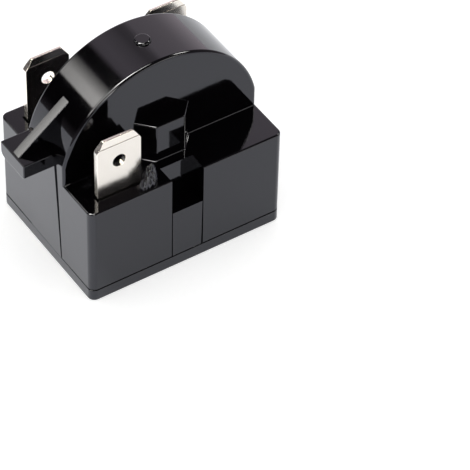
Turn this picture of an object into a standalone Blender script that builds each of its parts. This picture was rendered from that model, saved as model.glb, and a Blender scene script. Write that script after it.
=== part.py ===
# Plug-on start relay with a PTC disc, for a small hermetic compressor.
# X runs along the front wall, Y from the front shelf to the rear shelf, Z up.
# The origin is the middle of the housing's footprint, on the underside of the base cover.

import bpy
import bmesh
import math
from mathutils import Matrix, Vector

mm = 0.001

# Housing
body_width = 28.0 * mm
shelf_top = 14.8 * mm
front_shelf_depth = 6.2 * mm
drum_depth = 8.6 * mm
rear_shelf_depth = 6.8 * mm
drum_swell = 0.35 * mm
drum_axis_height = 14.4 * mm
wall = 1.3 * mm
corner_radius = 0.95 * mm
edge_radius = 0.35 * mm
gate_width = 2.15 * mm
gate_height = 0.32 * mm
gate_edge = 0.28 * mm

# Notch in the front wall, the slits beside the wall under it, and the boss above it
notch_width = 4.6 * mm
notch_depth = 2.65 * mm
notch_floor = 9.2 * mm
left_slit = 0.15 * mm
right_slit = 0.25 * mm
boss_back_width = 8.0 * mm
boss_front_width = 4.1 * mm
boss_depth = 2.2 * mm
boss_height = 5.6 * mm

# Ear, gusset and slide pad on the left wall
ear_reach = 4.15 * mm
ear_length = 5.5 * mm
ear_thickness = 2.2 * mm
ear_top = 18.25 * mm
ear_behind_disc = 0.85 * mm
ear_front_radius = 0.4 * mm
ear_rear_radius = 0.8 * mm
gusset_thickness = 1.4 * mm
gusset_top = 24.0 * mm
gusset_behind_disc = 0.4 * mm
gusset_toe = 0.3 * mm
gusset_toe_height = 0.05 * mm
pad_proud_top = 0.17 * mm
pad_proud_foot = 0.03 * mm
pad_front = 3.31 * mm
pad_draft = 1.0 * mm
pad_rear_inset = 0.15 * mm

# Base cover
cover_thickness = 1.65 * mm
cover_edge = 0.15 * mm
lip_height = 0.9 * mm
lip_thickness = 0.9 * mm
pin_hole_radius = 1.6 * mm

# Disc
disc_margin = 3.05 * mm
disc_thickness = 2.6 * mm
disc_edge_bevel = 0.25 * mm
rib_width = 1.4 * mm
rib_angles = (40, 90, 140)
cradle_width = 9.0 * mm

# Blades and strips
blade_width = 6.2 * mm
blade_thickness = 0.8 * mm
blade_height = 8.9 * mm
rear_blade_rise = 0.65 * mm
blade_corner_width = 1.0 * mm
blade_corner_height = 1.45 * mm
blade_taper = 1.0 * mm
blade_lead = 0.2 * mm
blade_hole_radius = 0.9 * mm
blade_hole_drop = 3.8 * mm
blade_side_inset = 2.3 * mm
front_blade_inset = 2.0 * mm
rear_blade_inset = 2.1 * mm
bus_clearance = 2.0 * mm
foot_rise = 1.2 * mm
foot_margin = 0.8 * mm

# Pin sockets
pin_pitch = 12.7 * mm
sleeve_radius = 1.8 * mm
sleeve_wall = 0.6 * mm
sleeve_height = 8.2 * mm
sleeve_setback = 0.9 * mm
sleeve_slit = 0.9 * mm

# Contact springs and rivets
spring_thickness = 0.4 * mm
spring_width = 5.4 * mm
spring_slit = 1.0 * mm
rivet_radius = 0.9 * mm
rivet_head_radius = 1.6 * mm
rivet_head_height = 0.5 * mm

# Sealant
bead_length = 3.0 * mm
bead_width = 1.6 * mm
bead_height = 3.0 * mm
bead_turn = math.radians(35)
bead_aside = 0.9 * mm
bead_ahead = 0.7 * mm

# The clearance between pieces, and how far a cutter or a joined shape reaches past a face
gap = 0.3 * mm
bite = 0.4 * mm
tolerance = 0.01 * mm

# How finely round shapes are divided
arc_steps = 40
round_segments = 64
hole_segments = 28
corner_steps = 4
rounding_steps = 3
spring_steps = 24
sharp_angle = math.radians(35)

# Planes and centres that follow from the sizes above
body_depth = front_shelf_depth + drum_depth + rear_shelf_depth
front_y = -body_depth / 2
rear_y = body_depth / 2
left_x = -body_width / 2
drum_radius = body_width / 2 + drum_swell
disc_radius = drum_radius - wall - disc_margin
drum_front = front_y + front_shelf_depth
drum_rear = drum_front + drum_depth
disc_y = (drum_front + drum_rear) / 2
ear_y = disc_y + ear_behind_disc
gusset_y = disc_y + gusset_behind_disc
housing_foot = cover_thickness + gap
inner_width = body_width - 2 * wall
front_blade_top = shelf_top + blade_height
rear_blade_top = front_blade_top + rear_blade_rise
foot_bottom = cover_thickness + foot_rise
foot_top = foot_bottom + blade_thickness
bus_top = shelf_top - wall - bus_clearance
front_blade_y = front_y + front_blade_inset
rear_blade_y = rear_y - rear_blade_inset
left_blade_x = left_x + blade_side_inset + blade_width / 2
sleeve_offset = gap + sleeve_radius + sleeve_setback
front_sleeve = Vector((left_blade_x, front_blade_y + blade_thickness + sleeve_offset))
rear_sleeve_y = rear_blade_y - blade_thickness - sleeve_offset
sleeve_step = math.sqrt(pin_pitch ** 2 - (rear_sleeve_y - front_sleeve.y) ** 2)
rear_sleeve = Vector((front_sleeve.x + sleeve_step, rear_sleeve_y))
rivet_step = Vector((sleeve_radius + 2 * gap + spring_width / 2, 0))
front_rivet = front_sleeve + rivet_step
rear_rivet = rear_sleeve + rivet_step


def clear_scene():
    for item in list(bpy.data.objects):
        bpy.data.objects.remove(item)


def new_collection(name):
    collection = bpy.data.collections.new(name)
    bpy.context.scene.collection.children.link(collection)
    return collection


def material(name, color, roughness, metallic):
    made = bpy.data.materials.new(name)
    made.use_nodes = True
    shader = made.node_tree.nodes["Principled BSDF"]
    shader.inputs["Base Color"].default_value = (*color, 1.0)
    shader.inputs["Roughness"].default_value = roughness
    shader.inputs["Metallic"].default_value = metallic
    return made


def finish(name, bm, collection, finish_material=None):
    bmesh.ops.recalc_face_normals(bm, faces=bm.faces[:])
    if bm.calc_volume(signed=True) < 0:
        bmesh.ops.reverse_faces(bm, faces=bm.faces[:])
    mesh = bpy.data.meshes.new(name)
    bm.to_mesh(mesh)
    bm.free()
    item = bpy.data.objects.new(name, mesh)
    collection.objects.link(item)
    if finish_material:
        mesh.materials.append(finish_material)
        mesh.shade_smooth()
        mesh.set_sharp_from_angle(angle=sharp_angle)
    return item


def cutter(name, bm):
    item = finish(name, bm, cutters)
    item.hide_render = True
    item.display_type = "WIRE"
    return item


def combine(target, tool, operation):
    modifier = target.modifiers.new(tool.name, "BOOLEAN")
    modifier.operation = operation
    modifier.object = tool
    modifier.solver = "EXACT"


def box(low, high):
    bm = bmesh.new()
    size = Vector(high) - Vector(low)
    middle = (Vector(high) + Vector(low)) / 2
    bmesh.ops.create_cube(bm, size=1.0, matrix=Matrix.Translation(middle) @ Matrix.Diagonal((*size, 1.0)))
    return bm


def cylinder(radius, low, high, center, axis="Z", segments=hole_segments):
    bm = bmesh.new()
    turn = {"Z": Matrix.Identity(4), "Y": Matrix.Rotation(math.pi / 2, 4, "X")}[axis]
    bmesh.ops.create_cone(bm, cap_ends=True, segments=segments, radius1=radius, radius2=radius,
                          depth=high - low, matrix=turn)
    along = (low + high) / 2
    place = {"Z": (center[0], center[1], along), "Y": (center[0], along, center[1])}[axis]
    bmesh.ops.translate(bm, verts=bm.verts[:], vec=place)
    return bm


def prism(outline, direction, distance):
    # A flat outline of 3D points, pushed along one direction.
    bm = bmesh.new()
    face = bm.faces.new([bm.verts.new(point) for point in outline])
    pushed = bmesh.ops.extrude_face_region(bm, geom=[face])
    moved = [item for item in pushed["geom"] if isinstance(item, bmesh.types.BMVert)]
    bmesh.ops.translate(bm, verts=moved, vec=Vector(direction) * distance)
    return bm


def arch(half_width, radius, foot, y, steps):
    # Upright sides that run into an arc about the drum's axis, as seen from the front.
    start = math.acos(half_width / radius)
    points = [(-half_width, y, foot)]
    for step in range(steps + 1):
        turn = math.pi - start - (math.pi - 2 * start) * step / steps
        points.append((radius * math.cos(turn), y, drum_axis_height + radius * math.sin(turn)))
    points.append((half_width, y, foot))
    return points


def edges_where(bm, test):
    return [edge for edge in bm.edges if test(edge.verts[0].co, edge.verts[1].co)]


def near(a, b):
    return abs(a - b) < tolerance


def round_edges(bm, edges, radius, segments):
    bmesh.ops.bevel(bm, geom=edges, offset=radius, offset_type="OFFSET", segments=segments,
                    profile=0.5, affect="EDGES", material=-1, clamp_overlap=True)


def upright_corner(a, b):
    return (near(abs(a.x), body_width / 2) and near(a.x, b.x) and near(a.y, b.y)
            and near(abs(a.y), body_depth / 2) and not near(a.z, b.z))


def outer_shell():
    # The drum's full section, with its lower half pushed out into the two shelves.
    bm = prism(arch(body_width / 2, drum_radius, housing_foot, drum_front, arc_steps), (0, 1, 0), drum_depth)
    for y, direction, reach in ((drum_front, -1, front_shelf_depth), (drum_rear, 1, rear_shelf_depth)):
        bm.faces.ensure_lookup_table()
        ends = [face for face in bm.faces if all(near(vert.co.y, y) for vert in face.verts)]
        bmesh.ops.bisect_plane(bm, geom=ends + list({edge for face in ends for edge in face.edges})
                               + list({vert for face in ends for vert in face.verts}),
                               plane_co=(0, 0, shelf_top), plane_no=(0, 0, 1))
        low = [face for face in bm.faces if all(near(vert.co.y, y) for vert in face.verts)
               and face.calc_center_median().z < shelf_top]
        pushed = bmesh.ops.extrude_face_region(bm, geom=low)
        moved = [item for item in pushed["geom"] if isinstance(item, bmesh.types.BMVert)]
        bmesh.ops.translate(bm, verts=moved, vec=(0, direction * reach, 0))
        bmesh.ops.delete(bm, geom=low, context="FACES")
    bmesh.ops.recalc_face_normals(bm, faces=bm.faces[:])
    round_edges(bm, edges_where(bm, upright_corner), corner_radius, corner_steps)
    return bm


def cavity():
    half = inner_width / 2
    inside = cutter("cavity", box((-half, front_y + wall, 0), (half, rear_y - wall, shelf_top - wall)))
    drum = cutter("cavity_drum", prism(arch(half, drum_radius - wall, bite, drum_front + wall, arc_steps),
                                       (0, 1, 0), drum_depth - 2 * wall))
    keep = notch_width / 2 + wall
    notch_wall = cutter("notch_wall", box((-keep, front_y, notch_floor - wall),
                                          (keep, front_y + notch_depth + wall, shelf_top)))
    combine(inside, drum, "UNION")
    combine(inside, notch_wall, "DIFFERENCE")
    for index, degrees in enumerate(rib_angles):
        # Ribs that hold the disc by its edge, a clearance away from it.
        reach = drum_radius - disc_radius - gap
        bm = box((disc_radius + gap, -disc_thickness / 2, -rib_width / 2),
                 (disc_radius + gap + reach, disc_thickness / 2, rib_width / 2))
        turn = Matrix.Rotation(-math.radians(degrees), 4, "Y")
        bm.transform(Matrix.Translation((0, disc_y, drum_axis_height)) @ turn)
        combine(inside, cutter(f"disc_rib_{index}", bm), "DIFFERENCE")
    return inside


def slide_pad():
    # Proud of the wall up to the ear's top, and nearly flush along its foot.
    front = disc_y - pad_front
    rear = drum_rear - edge_radius - pad_rear_inset
    bm = box((left_x - pad_proud_top, front, housing_foot), (left_x + bite, rear, ear_top))
    for vert in bm.verts:
        if near(vert.co.z, housing_foot):
            if vert.co.x < left_x:
                vert.co.x = left_x - pad_proud_foot
        elif near(vert.co.y, front):
            vert.co.y += pad_draft
    return bm


def ear():
    bm = box((left_x - ear_reach, ear_y - ear_length / 2, ear_top - ear_thickness),
             (left_x + bite, ear_y + ear_length / 2, ear_top))
    for y, radius in ((ear_y - ear_length / 2, ear_front_radius), (ear_y + ear_length / 2, ear_rear_radius)):
        low = edges_where(bm, lambda a, b: near(a.y, y) and near(b.y, y) and max(a.z, b.z) < ear_top - tolerance)
        round_edges(bm, low, radius, rounding_steps)
    return bm


def gusset():
    rise = math.sqrt(drum_radius ** 2 - (gusset_top - drum_axis_height) ** 2)
    inner = wall / 2
    toe_x = left_x - ear_reach + gusset_toe
    outline = [(toe_x, 0, ear_top - bite), (toe_x, 0, ear_top + gusset_toe_height),
               (-rise, 0, gusset_top), (-rise + inner, 0, gusset_top - inner),
               (left_x + inner, 0, ear_top - bite)]
    bm = prism(outline, (0, 1, 0), gusset_thickness)
    bmesh.ops.translate(bm, verts=bm.verts[:], vec=(0, gusset_y - gusset_thickness / 2, 0))
    return bm


def boss():
    back = drum_front + bite
    front = drum_front - boss_depth
    outline = [(-boss_back_width / 2, back), (-boss_back_width / 2, drum_front), (-boss_front_width / 2, front),
               (boss_front_width / 2, front), (boss_back_width / 2, drum_front), (boss_back_width / 2, back)]
    points = [(x, y, shelf_top - bite) for x, y in outline]
    return prism(points, (0, 0, 1), boss_height + bite)


def tongue_slit(name, low_x, width):
    # Parts the wall under the notch from the wall beside it, from the notch down to the foot.
    return cutter(name, box((low_x, front_y - bite, housing_foot - bite),
                            (low_x + width, front_y + wall + bite, notch_floor + bite)))


def blade_slot(name, x, y):
    half = blade_width / 2 + gap
    return cutter(name, box((x - half, y - gap, shelf_top - wall - bite),
                            (x + half, y + blade_thickness + gap, shelf_top + bite)))


def gate_button():
    # The low round button of the moulding gate on top of the drum.
    base = drum_axis_height + drum_radius
    top = base + gate_height
    bm = cylinder(gate_width / 2, base - wall / 2, top, (0, disc_y))
    round_edges(bm, edges_where(bm, lambda a, b: near(a.z, top) and near(b.z, top)), gate_edge, rounding_steps)
    return bm


def housing(black):
    bm = outer_shell()
    rims = edges_where(bm, lambda a, b: near(a.y, b.y) and (near(a.y, drum_front) or near(a.y, drum_rear))
                       and min(a.z, b.z) > shelf_top - tolerance and max(a.z, b.z) > shelf_top + tolerance)
    shelves = edges_where(bm, lambda a, b: near(a.z, shelf_top) and near(b.z, shelf_top)
                          and not (near(a.y, b.y) and (near(a.y, drum_front) or near(a.y, drum_rear))))
    round_edges(bm, rims + shelves, edge_radius, rounding_steps)
    body = finish("housing", bm, parts, black)
    combine(body, cutter("boss", boss()), "UNION")
    combine(body, cutter("slide_pad", slide_pad()), "UNION")
    combine(body, cutter("ear", ear()), "UNION")
    combine(body, cutter("gusset", gusset()), "UNION")
    combine(body, cavity(), "DIFFERENCE")
    notch = box((-notch_width / 2, front_y - bite, notch_floor),
                (notch_width / 2, front_y + notch_depth, shelf_top + bite))
    combine(body, cutter("notch", notch), "DIFFERENCE")
    combine(body, tongue_slit("left_slit", -notch_width / 2, left_slit), "DIFFERENCE")
    combine(body, tongue_slit("right_slit", notch_width / 2 - right_slit, right_slit), "DIFFERENCE")
    combine(body, blade_slot("front_slot", left_blade_x, front_blade_y), "DIFFERENCE")
    combine(body, blade_slot("rear_left_slot", left_blade_x, rear_blade_y - blade_thickness), "DIFFERENCE")
    combine(body, blade_slot("rear_right_slot", -left_blade_x, rear_blade_y - blade_thickness), "DIFFERENCE")
    combine(body, cutter("gate_button", gate_button()), "UNION")


def base_cover(black):
    bm = box((left_x, front_y, 0), (-left_x, rear_y, cover_thickness))
    round_edges(bm, edges_where(bm, upright_corner), corner_radius, corner_steps)
    round_edges(bm, edges_where(bm, lambda a, b: near(a.z, 0) and near(b.z, 0)), cover_edge, rounding_steps)
    cover = finish("base_cover", bm, parts, black)
    outer = Vector((inner_width / 2 - gap, body_depth / 2 - wall - gap))
    inner = outer - Vector((lip_thickness, lip_thickness))
    top = cover_thickness + lip_height
    lip = cutter("lip", box((-outer.x, -outer.y, cover_thickness - bite), (outer.x, outer.y, top)))
    combine(lip, cutter("lip_inside", box((-inner.x, -inner.y, 0), (inner.x, inner.y, top + bite))), "DIFFERENCE")
    half = disc_thickness / 2
    seat_height = drum_axis_height - math.sqrt(disc_radius ** 2 - cradle_width ** 2 / 4)
    cradle = cutter("cradle", box((-cradle_width / 2, disc_y - half, cover_thickness - bite),
                                  (cradle_width / 2, disc_y + half, seat_height)))
    seat = cylinder(disc_radius + gap, disc_y - half - bite, disc_y + half + bite, (0, drum_axis_height), "Y",
                    round_segments)
    combine(cradle, cutter("cradle_seat", seat), "DIFFERENCE")
    combine(cover, lip, "UNION")
    combine(cover, cradle, "UNION")
    for name, spot in (("front_pin_hole", front_sleeve), ("rear_pin_hole", rear_sleeve)):
        hole = cylinder(pin_hole_radius, -bite, top + bite, spot)
        combine(cover, cutter(name, hole), "DIFFERENCE")


def ptc_disc(ceramic):
    half = disc_thickness / 2
    bm = cylinder(disc_radius, disc_y - half, disc_y + half, (0, drum_axis_height), "Y", round_segments)
    rims = edges_where(bm, lambda a, b: near(a.y, b.y))
    round_edges(bm, rims, disc_edge_bevel, 1)
    finish("ptc_disc", bm, parts, ceramic)


def blade(x, y, top):
    # One flat blade with cut corners, thinned towards its tip, with its front face at y.
    half = blade_width / 2
    shoulder = top - blade_corner_height
    tip = half - blade_corner_width
    outline = [(x - half, y, foot_bottom), (x - half, y, shoulder), (x - tip, y, top),
               (x + tip, y, top), (x + half, y, shoulder), (x + half, y, foot_bottom)]
    bm = prism(outline, (0, 1, 0), blade_thickness)
    bmesh.ops.bisect_plane(bm, geom=bm.verts[:] + bm.edges[:] + bm.faces[:],
                           plane_co=(0, 0, top - blade_taper), plane_no=(0, 0, 1))
    for vert in bm.verts:
        if near(vert.co.z, top):
            vert.co.y += blade_lead if near(vert.co.y, y) else -blade_lead
    return bm


def punch(strip, name, x, y, top):
    hole = cylinder(blade_hole_radius, y - bite, y + blade_thickness + bite, (x, top - blade_hole_drop), "Y")
    combine(strip, cutter(name, hole), "DIFFERENCE")


def pierce(strip, name, radius, spot):
    combine(strip, cutter(name, cylinder(radius, foot_bottom - bite, foot_top + bite, spot)), "DIFFERENCE")


def terminal_foot(sleeve, rivet, blade_face_y, left):
    # The flat foot that carries the sleeve and the rivet, with a margin of metal round each hole.
    side = 1 if sleeve.y < disc_y else -1
    ends = (blade_face_y, sleeve.y + side * (sleeve_radius + gap + foot_margin))
    right = rivet.x + rivet_radius + gap + foot_margin
    return box((left, min(ends), foot_bottom), (right, max(ends), foot_top))


def front_terminal(tin):
    strip = finish("front_terminal", blade(left_blade_x, front_blade_y, front_blade_top), parts, tin)
    foot = terminal_foot(front_sleeve, front_rivet, front_blade_y, left_blade_x - blade_width / 2)
    combine(strip, cutter("front_foot", foot), "UNION")
    punch(strip, "front_blade_hole", left_blade_x, front_blade_y, front_blade_top)
    pierce(strip, "front_sleeve_hole", sleeve_radius + gap, front_sleeve)
    pierce(strip, "front_rivet_hole", rivet_radius + gap, front_rivet)


def rear_terminal(tin):
    y = rear_blade_y - blade_thickness
    strip = finish("rear_terminal", blade(left_blade_x, y, rear_blade_top), parts, tin)
    half = -left_blade_x + blade_width / 2
    bus = box((-half, y, foot_bottom), (half, y + blade_thickness, bus_top))
    left = rear_sleeve.x - sleeve_radius - gap - foot_margin
    foot = terminal_foot(rear_sleeve, rear_rivet, rear_blade_y, left)
    combine(strip, cutter("right_blade", blade(-left_blade_x, y, rear_blade_top)), "UNION")
    combine(strip, cutter("bus", bus), "UNION")
    combine(strip, cutter("rear_foot", foot), "UNION")
    punch(strip, "rear_left_blade_hole", left_blade_x, y, rear_blade_top)
    punch(strip, "rear_right_blade_hole", -left_blade_x, y, rear_blade_top)
    pierce(strip, "rear_sleeve_hole", sleeve_radius + gap, rear_sleeve)
    pierce(strip, "rear_rivet_hole", rivet_radius + gap, rear_rivet)


def pin_socket(name, spot, tin):
    bottom = cover_thickness + gap
    bm = cylinder(sleeve_radius, bottom, bottom + sleeve_height, spot)
    sleeve = finish(name, bm, parts, tin)
    inside = cylinder(sleeve_radius - sleeve_wall, bottom - bite, bottom + sleeve_height + bite, spot)
    combine(sleeve, cutter(name + "_bore", inside), "DIFFERENCE")
    toward_disc = 1 if spot.y < disc_y else -1
    near_y = spot.y + toward_disc * (sleeve_radius - 2 * sleeve_wall)
    far_y = spot.y + toward_disc * (sleeve_radius + bite)
    slit = box((spot.x - sleeve_slit / 2, min(near_y, far_y), bottom - bite),
               (spot.x + sleeve_slit / 2, max(near_y, far_y), bottom + sleeve_height + bite))
    combine(sleeve, cutter(name + "_slit", slit), "DIFFERENCE")


def contact_spring(name, rivet, steel):
    # A leaf that stands by the drum wall, bows out to the disc and turns in at its foot over the terminal.
    side = 1 if rivet.y < disc_y else -1
    wall_y = (drum_front + wall if side > 0 else drum_rear - wall) + side * (gap + spring_thickness / 2)
    face_y = disc_y - side * (disc_thickness / 2 + gap + spring_thickness / 2)
    foot_z = foot_top + gap + spring_thickness / 2
    top_z = drum_axis_height + disc_radius - spring_width / 2
    low_z = foot_z + 1.5 * spring_thickness
    path = [(rivet.y - side * rivet_head_radius, foot_z), (wall_y - side * spring_thickness, foot_z),
            (wall_y, low_z)]
    for step in range(1, spring_steps + 1):
        share = step / spring_steps
        bow = 0.5 - 0.5 * math.cos(2 * math.pi * share)
        path.append((wall_y + (face_y - wall_y) * bow, low_z + (top_z - low_z) * share))
    left = rivet.x - spring_width / 2
    bm = bmesh.new()
    rows = [bm.verts.new((left, y, z)) for y, z in path]
    edges = [bm.edges.new((rows[i], rows[i + 1])) for i in range(len(rows) - 1)]
    pushed = bmesh.ops.extrude_edge_only(bm, edges=edges)
    moved = [item for item in pushed["geom"] if isinstance(item, bmesh.types.BMVert)]
    bmesh.ops.translate(bm, verts=moved, vec=(spring_width, 0, 0))
    spring = finish(name, bm, parts, steel)
    thick = spring.modifiers.new("thickness", "SOLIDIFY")
    thick.thickness = spring_thickness
    thick.offset = 0
    near_y = min(wall_y, face_y) - 2 * spring_thickness
    far_y = max(wall_y, face_y) + 2 * spring_thickness
    slit = box((rivet.x - spring_slit / 2, near_y, low_z + spring_width / 2),
               (rivet.x + spring_slit / 2, far_y, top_z - spring_width / 4))
    combine(spring, cutter(name + "_slit", slit), "DIFFERENCE")
    hole = cylinder(rivet_radius + gap, foot_z - spring_width / 4, foot_z + spring_width / 4, rivet)
    combine(spring, cutter(name + "_hole", hole), "DIFFERENCE")


def contact_rivet(name, spot, brass):
    # Turned shape: two flat heads on one shank, through the terminal's foot and the spring's foot.
    low = foot_bottom - gap - rivet_head_height
    stack = foot_bottom - gap
    top = foot_top + gap + spring_thickness + gap
    profile = [(0, top + rivet_head_height), (rivet_head_radius, top + rivet_head_height),
               (rivet_head_radius, top), (rivet_radius, top), (rivet_radius, stack),
               (rivet_head_radius, stack), (rivet_head_radius, low), (0, low)]
    bm = bmesh.new()
    points = [bm.verts.new((r, 0, z)) for r, z in profile]
    for i in range(len(points) - 1):
        bm.edges.new((points[i], points[i + 1]))
    rivet = finish(name, bm, parts, brass)
    rivet.location = (spot.x, spot.y, 0)
    turn = rivet.modifiers.new("turn", "SCREW")
    turn.steps = hole_segments
    turn.render_steps = hole_segments
    turn.use_merge_vertices = True
    turn.merge_threshold = 0.00001
    return rivet


def sealant_bead(resin):
    # A lump of resin on the shelf, across the front corner of the blade.
    bm = bmesh.new()
    bmesh.ops.create_uvsphere(bm, u_segments=hole_segments, v_segments=hole_segments // 2, radius=0.5)
    bmesh.ops.scale(bm, verts=bm.verts[:], vec=(bead_length, bead_width, 2 * bead_height))
    cut = bmesh.ops.bisect_plane(bm, geom=bm.verts[:] + bm.edges[:] + bm.faces[:], plane_co=(0, 0, 0),
                                 plane_no=(0, 0, -1), clear_outer=True)
    rim = [item for item in cut["geom_cut"] if isinstance(item, bmesh.types.BMEdge)]
    bmesh.ops.contextual_create(bm, geom=rim)
    place = (left_blade_x + blade_width / 2 + bead_aside, front_blade_y - bead_ahead, shelf_top + gap)
    bm.transform(Matrix.Translation(place) @ Matrix.Rotation(bead_turn, 4, "Z"))
    finish("sealant_bead", bm, parts, resin)


clear_scene()
parts = new_collection("compressor_start_relay")
cutters = new_collection("cutters")

glossy_black = material("glossy_black", (0.012, 0.012, 0.014), 0.12, 0.0)
cover_black = material("cover_black", (0.014, 0.014, 0.016), 0.2, 0.0)
tinned = material("tinned_brass", (0.82, 0.81, 0.78), 0.22, 1.0)
spring_steel = material("spring_steel", (0.55, 0.55, 0.56), 0.3, 1.0)
rivet_brass = material("rivet_brass", (0.78, 0.62, 0.32), 0.3, 1.0)
disc_ceramic = material("disc_ceramic", (0.3, 0.3, 0.31), 0.55, 0.0)
clear_resin = material("clear_resin", (0.2, 0.2, 0.22), 0.15, 0.0)

housing(glossy_black)
base_cover(cover_black)
ptc_disc(disc_ceramic)
front_terminal(tinned)
rear_terminal(tinned)
pin_socket("front_pin_socket", front_sleeve, tinned)
pin_socket("rear_pin_socket", rear_sleeve, tinned)
contact_spring("front_contact_spring", front_rivet, spring_steel)
contact_spring("rear_contact_spring", rear_rivet, spring_steel)
contact_rivet("front_contact_rivet", front_rivet, rivet_brass)
contact_rivet("rear_contact_rivet", rear_rivet, rivet_brass)
sealant_bead(clear_resin)
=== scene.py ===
import math

import bmesh
import bpy
from mathutils import Matrix, Vector, noise


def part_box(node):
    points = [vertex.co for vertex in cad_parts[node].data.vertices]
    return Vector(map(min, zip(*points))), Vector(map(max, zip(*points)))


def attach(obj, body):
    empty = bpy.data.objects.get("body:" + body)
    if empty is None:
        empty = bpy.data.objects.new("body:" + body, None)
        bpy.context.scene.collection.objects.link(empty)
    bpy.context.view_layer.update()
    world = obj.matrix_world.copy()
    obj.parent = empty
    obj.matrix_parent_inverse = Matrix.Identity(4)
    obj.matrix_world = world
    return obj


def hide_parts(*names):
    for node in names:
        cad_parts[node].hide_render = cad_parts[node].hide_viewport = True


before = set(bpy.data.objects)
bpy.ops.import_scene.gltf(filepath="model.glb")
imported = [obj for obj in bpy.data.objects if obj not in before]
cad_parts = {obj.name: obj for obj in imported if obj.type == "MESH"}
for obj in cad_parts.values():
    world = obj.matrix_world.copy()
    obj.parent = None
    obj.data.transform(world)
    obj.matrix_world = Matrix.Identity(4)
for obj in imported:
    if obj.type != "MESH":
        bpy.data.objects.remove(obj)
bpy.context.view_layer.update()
print("frame loaded:", len(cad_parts), "nodes")

# Shapes are made in millimetres, and addPiece scales them to the frame's metres.
mm = 0.001
tiny = 0.02          # how far a point may lie from a plane and still be on it
bite = 0.4           # how far a cutter reaches past the face it cuts
weld = 0.002         # points nearer than this become one after a cut
flatTurn = 0.4       # a seam that turns by less than this many degrees lies in a flat face
sameWay = 0.99       # directions run the same way when the cosine between them is above this

# The view of the photograph: the point aimed at, and the line of sight's angles in degrees.
cameraValues = {
    "aim": (0.679, -20.29, 12.0),
    "azimuth": 34.388,
    "elevation": 44.728,
    "distance": 377.94,
    "roll": 1.58,
    "lens": 238.99,
    "sensor": 36,
    "clipStart": 0.01,
}


def placeCamera(values):
    camera = bpy.data.cameras.new("camera")
    camera.lens = values["lens"]
    camera.sensor_width = values["sensor"]
    camera.clip_start = values["clipStart"]
    item = bpy.data.objects.new("camera", camera)
    bpy.context.scene.collection.objects.link(item)
    azimuth = math.radians(values["azimuth"])
    elevation = math.radians(values["elevation"])
    sight = Vector((math.sin(azimuth) * math.cos(elevation), math.cos(azimuth) * math.cos(elevation),
                    -math.sin(elevation)))
    place = Matrix.Translation((Vector(values["aim"]) - sight * values["distance"]) * mm)
    level = (-sight).to_track_quat("Z", "Y").to_matrix().to_4x4()
    roll = Matrix.Rotation(math.radians(values["roll"]), 4, "Z")
    item.matrix_world = place @ level @ roll
    bpy.context.scene.camera = item


placeCamera(cameraValues)
print("camera placed")


# Small helpers for materials and light

def newMaterial(name):
    made = bpy.data.materials.new(name)
    made.use_nodes = True
    return made, made.node_tree.nodes, made.node_tree.links


def feed(links, source, socket):
    # gives a socket a link, a colour or a number
    if isinstance(source, bpy.types.NodeSocket):
        links.new(source, socket)
    elif socket.type == "RGBA":
        socket.default_value = (*source, 1)
    else:
        socket.default_value = source


def objectPoint(nodes, links, scale=(1, 1, 1)):
    coords = nodes.new("ShaderNodeTexCoord")
    mapping = nodes.new("ShaderNodeMapping")
    mapping.inputs["Scale"].default_value = scale
    links.new(coords.outputs["Object"], mapping.inputs["Vector"])
    return mapping.outputs["Vector"]


def grain(nodes, links, point, scale, detail, roughness=0.5):
    texture = nodes.new("ShaderNodeTexNoise")
    texture.inputs["Scale"].default_value = scale
    texture.inputs["Detail"].default_value = detail
    texture.inputs["Roughness"].default_value = roughness
    links.new(point, texture.inputs["Vector"])
    return texture.outputs["Fac"]


def spread(nodes, links, value, low, high, fromLow=0.0, fromHigh=1.0):
    ranged = nodes.new("ShaderNodeMapRange")
    ranged.inputs["From Min"].default_value = fromLow
    ranged.inputs["From Max"].default_value = fromHigh
    ranged.inputs["To Min"].default_value = low
    ranged.inputs["To Max"].default_value = high
    links.new(value, ranged.inputs["Value"])
    return ranged.outputs["Result"]


def blend(nodes, links, value, first, second, kind="RGBA"):
    # mixes two colours, or two numbers when the kind is FLOAT
    mix = nodes.new("ShaderNodeMix")
    mix.data_type = kind
    links.new(value, mix.inputs["Factor"])
    feed(links, first, mix.inputs["A"])
    feed(links, second, mix.inputs["B"])
    return mix.outputs["Result"]


def relief(nodes, links, height, depth, before=None):
    bump = nodes.new("ShaderNodeBump")
    bump.inputs["Strength"].default_value = 1.0
    bump.inputs["Distance"].default_value = depth
    links.new(height, bump.inputs["Height"])
    if before:
        links.new(before, bump.inputs["Normal"])
    return bump.outputs["Normal"]


def combine(nodes, links, operation, first, second):
    made = nodes.new("ShaderNodeMath")
    made.operation = operation
    feed(links, first, made.inputs[0])
    feed(links, second, made.inputs[1])
    return made.outputs[0]


def sumOf(nodes, links, first, second):
    return combine(nodes, links, "ADD", first, second)


def product(nodes, links, first, second):
    return combine(nodes, links, "MULTIPLY", first, second)


def fade(nodes, links, value, marks):
    # rises from the first mark to the second, and falls from the third to the fourth
    rise = spread(nodes, links, value, 0, 1, marks[0], marks[1])
    fall = spread(nodes, links, value, 1, 0, marks[2], marks[3])
    return product(nodes, links, rise, fall)


def inMirror(nodes, links, path):
    # 1 for what a reflection or a clear piece shows, 0 for all else
    return sumOf(nodes, links, path.outputs["Is Glossy Ray"], path.outputs["Is Transmission Ray"])


noiseSpan = (0.3, 0.7)    # most of a noise texture's values lie between these


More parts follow.
